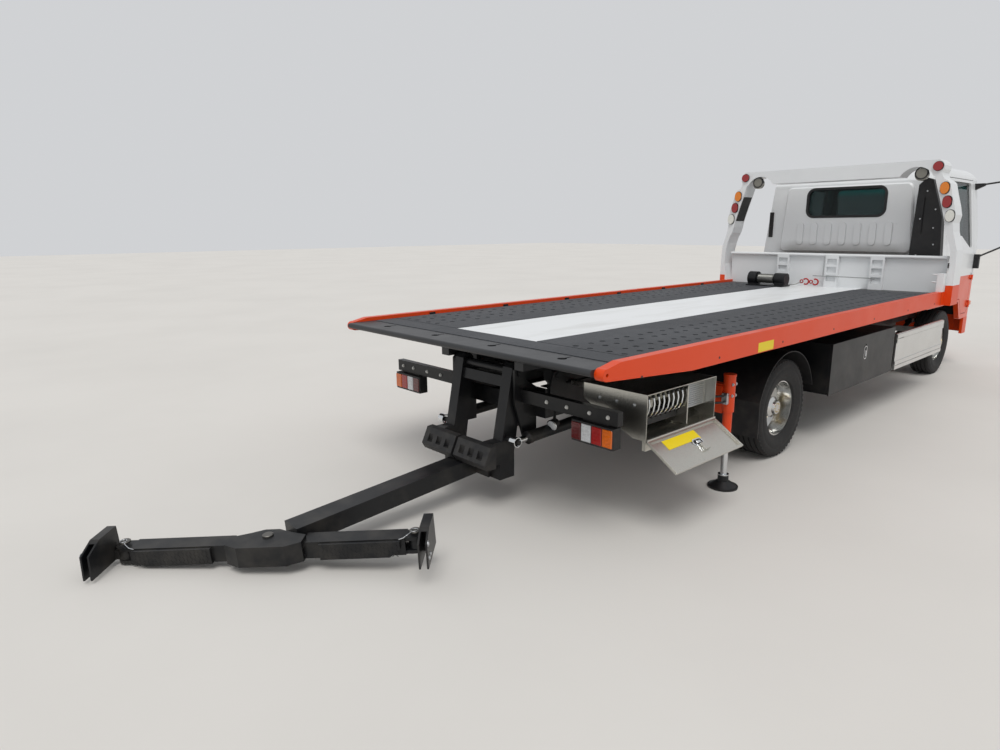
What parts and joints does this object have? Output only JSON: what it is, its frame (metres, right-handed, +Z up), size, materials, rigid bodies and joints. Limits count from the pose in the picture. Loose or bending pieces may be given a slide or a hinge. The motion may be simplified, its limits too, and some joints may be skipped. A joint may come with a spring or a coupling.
{
  "type": "flatbed tow truck",
  "caption": "Cab-over slide-bed tow truck with tilting flat deck, light arch, headboard winch, side toolboxes, stabiliser legs and a swivelled rear wheel lift.",
  "frame": {"origin": "on the ground, halfway along the truck's length and on its centre line", "axes": "+X forward along the truck, +Y to its left, +Z up"},
  "size_m": [10.1955, 2.98, 2.515],
  "materials": {
    "white_paint": "gloss white",
    "orange_paint": "gloss orange red",
    "black_paint": "satin black",
    "black_frame": "matt black",
    "black_grit": "rough anti-slip black",
    "engine_grey": "rough cast",
    "cast_knuckle": "rough cast, painted",
    "stainless": "brushed",
    "rod_chrome": "polished",
    "wheel_chrome": "polished",
    "guard_aluminium": "anodised",
    "tyre": "matt",
    "pad_rubber": "matt",
    "black_plastic": "grained",
    "lamp_red": "clear red",
    "lamp_clear": "clear",
    "seat_fabric": "woven",
    "glass": "tinted"
  },
  "bodies": {
    "chassis": {"chassis_frame": "black_frame", "engine_block": "engine_grey", "front_axle": "black_frame", "rear_axle": "black_frame", "fuel_tank": "black_frame", "tail_frame": "black_paint", "tail_lamps": "lamp_red", "rear_toolbox": "stainless", "side_toolbox": "black_paint", "side_guards": "guard_aluminium", "mudguards": "black_plastic", "stabiliser_barrels": "orange_paint"},
    "cab": {"cab_shell": "white_paint", "cab_floor": "black_frame", "cab_glass": "glass", "cab_interior": "seat_fabric", "headlamps": "lamp_clear", "front_bumper": "orange_paint", "intake_duct": "black_plastic", "mirror_left": "black_plastic", "mirror_right": "black_plastic"},
    "door_left": {"door_left": "white_paint", "door_glass_left": "glass"},
    "door_right": {"door_right": "white_paint", "door_glass_right": "glass"},
    "steering_wheel": {"steering_wheel": "black_plastic"},
    "tilt_frame": {"tilt_frame": "black_paint"},
    "tilt_barrels": {"tilt_barrels": "black_paint"},
    "tilt_rods": {"tilt_rods": "rod_chrome"},
    "bed": {"bed_frame": "black_paint", "lane_mats": "black_grit", "side_rails": "orange_paint", "headboard": "white_paint", "light_arch": "white_paint", "arch_lamps": "lamp_red", "winch_frame": "black_frame"},
    "winch_drum": {"winch_drum": "black_frame"},
    "lift_mast": {"lift_mast": "black_paint", "step_pads": "pad_rubber"},
    "lift_barrels": {"lift_barrels": "black_paint"},
    "lift_rods": {"lift_rods": "rod_chrome"},
    "inner_boom": {"inner_boom": "black_paint"},
    "crossbar": {"crossbar": "black_paint"},
    "fork_left": {"fork_left": "black_paint"},
    "fork_right": {"fork_right": "black_paint"},
    "knuckle_left": {"knuckle_left": "cast_knuckle"},
    "knuckle_right": {"knuckle_right": "cast_knuckle"},
    "front_wheel_left": {"front_tyre_left": "tyre", "front_wheel_left": "wheel_chrome"},
    "front_wheel_right": {"front_tyre_right": "tyre", "front_wheel_right": "wheel_chrome"},
    "rear_wheels_left": {"rear_tyres_left": "tyre", "rear_wheels_left": "wheel_chrome"},
    "rear_wheels_right": {"rear_tyres_right": "tyre", "rear_wheels_right": "wheel_chrome"},
    "stabiliser_left": {"stabiliser_leg_left": "rod_chrome"},
    "stabiliser_right": {"stabiliser_leg_right": "rod_chrome"},
    "rear_toolbox_lid": {"rear_toolbox_lid": "stainless"},
    "side_toolbox_door": {"side_toolbox_door": "black_paint"}
  },
  "joints": [
    {"name": "cab_tilt", "type": "hinge", "parent": "chassis", "child": "cab", "pos_m": [4.84347, 0, 0.56], "axis": [0, 1, 0], "range_deg": [0, 45]},
    {"name": "door_left_swing", "type": "hinge", "parent": "cab", "child": "door_left", "pos_m": [4.84747, 1.014, 1.1], "axis": [0, 0, -1], "range_deg": [0, 70]},
    {"name": "door_right_swing", "type": "hinge", "parent": "cab", "child": "door_right", "pos_m": [4.84747, -1.014, 1.1], "axis": [0, 0, 1], "range_deg": [0, 70]},
    {"name": "steering_left", "type": "hinge", "parent": "chassis", "child": "knuckle_left", "pos_m": [3.98847, 0.7, 0.3985], "axis": [0, 0, 1], "range_deg": [-35, 35]},
    {"name": "steering_right", "type": "hinge", "parent": "chassis", "child": "knuckle_right", "pos_m": [3.98847, -0.7, 0.3985], "axis": [0, 0, 1], "range_deg": [-35, 35]},
    {"name": "steering_wheel_turn", "type": "hinge", "parent": "cab", "child": "steering_wheel", "pos_m": [4.56347, 0.48, 1.42], "axis": [-0.7619, 0, 0.6476], "range_deg": [-560, 560]},
    {"name": "front_spin_left", "type": "hinge", "parent": "knuckle_left", "child": "front_wheel_left", "pos_m": [3.98847, 0.85, 0.3985], "axis": [0, 1, 0], "continuous": true},
    {"name": "front_spin_right", "type": "hinge", "parent": "knuckle_right", "child": "front_wheel_right", "pos_m": [3.98847, -0.85, 0.3985], "axis": [0, 1, 0], "continuous": true},
    {"name": "rear_spin_left", "type": "hinge", "parent": "chassis", "child": "rear_wheels_left", "pos_m": [-0.48653, 0.956, 0.3985], "axis": [0, 1, 0], "continuous": true},
    {"name": "rear_spin_right", "type": "hinge", "parent": "chassis", "child": "rear_wheels_right", "pos_m": [-0.48653, -0.956, 0.3985], "axis": [0, 1, 0], "continuous": true},
    {"name": "bed_tilt", "type": "hinge", "parent": "chassis", "child": "tilt_frame", "pos_m": [-2.44653, 0, 0.868], "axis": [0, -1, 0], "range_deg": [0, 15]},
    {"name": "tilt_barrel_swing", "type": "hinge", "parent": "chassis", "child": "tilt_barrels", "pos_m": [-1.04653, 0, 0.655], "axis": [0, -1, 0], "range_deg": [0, 30]},
    {"name": "tilt_rod_slide", "type": "slide", "parent": "tilt_barrels", "child": "tilt_rods", "axis": [0.9849, 0, 0.173], "range_m": [0, 0.25]},
    {"name": "bed_slide", "type": "slide", "parent": "tilt_frame", "child": "bed", "axis": [-1, 0, 0], "range_m": [0, 3.2]},
    {"name": "winch_spin", "type": "hinge", "parent": "bed", "child": "winch_drum", "pos_m": [2.41347, 0.56, 1.2], "axis": [0, 1, 0], "continuous": true},
    {"name": "lift_raise", "type": "hinge", "parent": "chassis", "child": "lift_mast", "pos_m": [-2.67653, 0, 0.905], "axis": [0, -1, 0], "range_deg": [-20, 0]},
    {"name": "lift_barrel_swing", "type": "hinge", "parent": "chassis", "child": "lift_barrels", "pos_m": [-1.90653, 0, 0.505], "axis": [0, -1, 0], "range_deg": [-5, 5]},
    {"name": "lift_rod_slide", "type": "slide", "parent": "lift_barrels", "child": "lift_rods", "axis": [-0.9992, 0, -0.0402], "range_m": [-0.001, 0.16]},
    {"name": "boom_extend", "type": "slide", "parent": "lift_mast", "child": "inner_boom", "axis": [0.9967, 0, 0.0812], "range_m": [-0.9, 0]},
    {"name": "crossbar_swivel", "type": "hinge", "parent": "inner_boom", "child": "crossbar", "pos_m": [-4.28125, 0, 0.11087], "axis": [-0.0812, 0, 0.9967], "range_deg": [-93, 2.8]},
    {"name": "fork_left_swivel", "type": "hinge", "parent": "crossbar", "child": "fork_left", "pos_m": [-4.85764, 0.57428, 0.06389], "axis": [-0.0812, 0, 0.9967], "range_deg": [-20, 20]},
    {"name": "fork_right_swivel", "type": "hinge", "parent": "crossbar", "child": "fork_right", "pos_m": [-3.70486, -0.57428, 0.15786], "axis": [-0.0812, 0, 0.9967], "range_deg": [-20, 20]},
    {"name": "stabiliser_left_slide", "type": "slide", "parent": "chassis", "child": "stabiliser_left", "axis": [0, 0, 1], "range_m": [0, 0.28]},
    {"name": "stabiliser_right_slide", "type": "slide", "parent": "chassis", "child": "stabiliser_right", "axis": [0, 0, 1], "range_m": [0, 0.28]},
    {"name": "rear_lid_swing", "type": "hinge", "parent": "chassis", "child": "rear_toolbox_lid", "pos_m": [-2.11153, -1.1865, 0.6], "axis": [-1, 0, 0], "range_deg": [0, 122]},
    {"name": "side_door_swing", "type": "hinge", "parent": "chassis", "child": "side_toolbox_door", "pos_m": [0.85347, -1.173, 0.422], "axis": [1, 0, 0], "range_deg": [0, 90]}
  ],
  "couplings": [
    {"joint": "steering_right", "follows": "steering_left", "ratio": 1},
    {"joint": "steering_wheel_turn", "follows": "steering_left", "ratio": 16},
    {"joint": "tilt_barrel_swing", "follows": "bed_tilt", "ratio": 1.9622},
    {"joint": "tilt_rod_slide", "follows": "bed_tilt", "m_per_rad": 0.7821},
    {"joint": "lift_barrel_swing", "follows": "lift_raise", "ratio": 0.18712},
    {"joint": "lift_rod_slide", "follows": "lift_raise", "m_per_rad": -0.40784}
  ]
}
